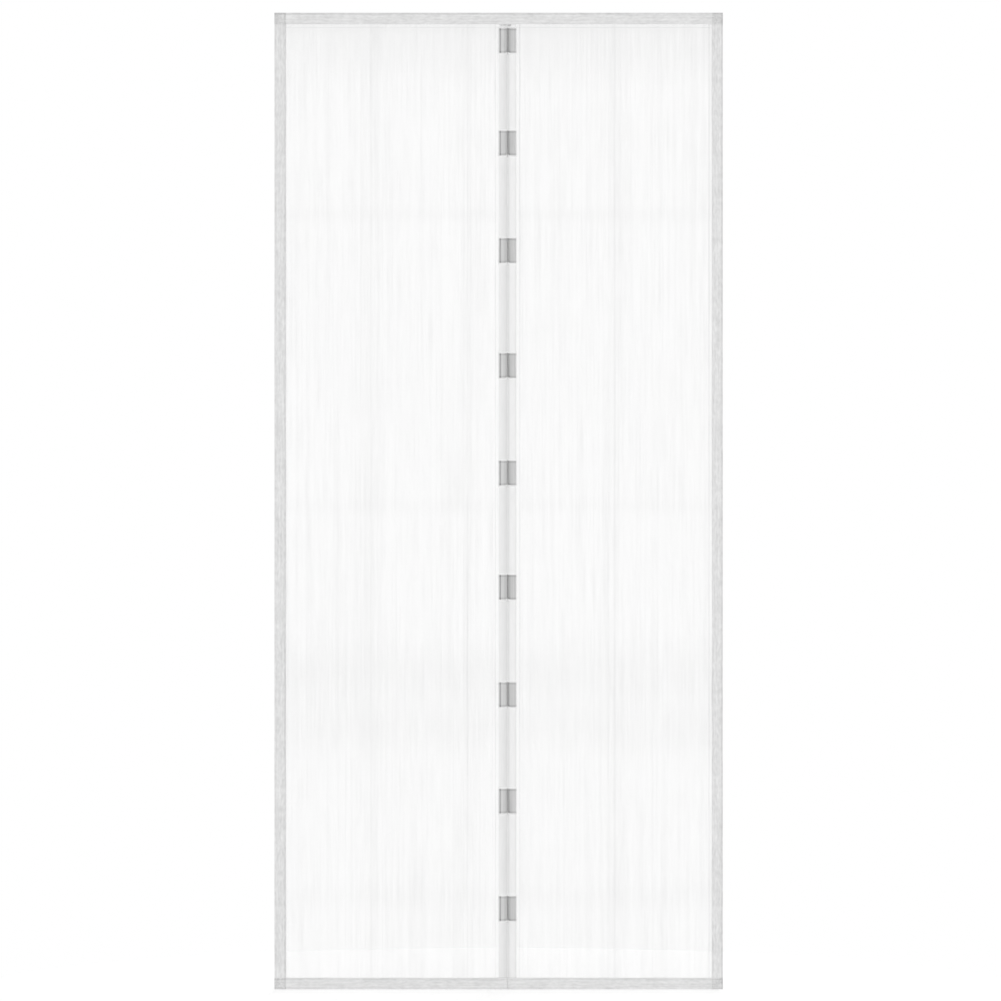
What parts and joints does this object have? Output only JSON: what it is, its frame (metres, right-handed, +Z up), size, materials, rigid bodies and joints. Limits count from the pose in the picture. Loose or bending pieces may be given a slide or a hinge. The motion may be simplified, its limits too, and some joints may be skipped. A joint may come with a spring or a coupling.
{
  "type": "magnetic insect screen",
  "caption": "Hanging door screen of two sheer net panels with folded tape borders, closed by pocketed bar magnets and held by hook and loop strips.",
  "frame": {"origin": "middle of the top hook strip's adhesive back face, which lies on the door frame", "axes": "+Z up, +X to the right seen from the front, +Y back towards the door frame, so the front faces -Y"},
  "size_m": [1.01, 0.0098, 2.2],
  "materials": {
    "net": "sheer knitted polyester net",
    "tape": "thin folded woven polyester tape",
    "ribbon": "thin woven polyester ribbon",
    "magnet": "matt ferrite",
    "loop": "napped nylon loop",
    "hook": "nylon hooks on an adhesive backing"
  },
  "bodies": {
    "root": {"net_left": "net", "net_right": "net", "side_tape_left": "tape", "side_tape_right": "tape", "top_tape": "tape", "hem_tape_left": "tape", "hem_tape_right": "tape", "magnet_ribbon_left": "ribbon", "magnet_ribbon_right": "ribbon", "magnet_left_1": "magnet", "magnet_left_2": "magnet", "magnet_left_3": "magnet", "magnet_left_4": "magnet", "magnet_left_5": "magnet", "magnet_left_6": "magnet", "magnet_left_7": "magnet", "magnet_left_8": "magnet", "magnet_left_9": "magnet", "magnet_right_1": "magnet", "magnet_right_2": "magnet", "magnet_right_3": "magnet", "magnet_right_4": "magnet", "magnet_right_5": "magnet", "magnet_right_6": "magnet", "magnet_right_7": "magnet", "magnet_right_8": "magnet", "magnet_right_9": "magnet", "loop_strip_top": "loop", "loop_strip_left": "loop", "loop_strip_right": "loop", "hook_strip_top": "hook", "hook_strip_left": "hook", "hook_strip_right": "hook"}
  },
  "joints": []
}
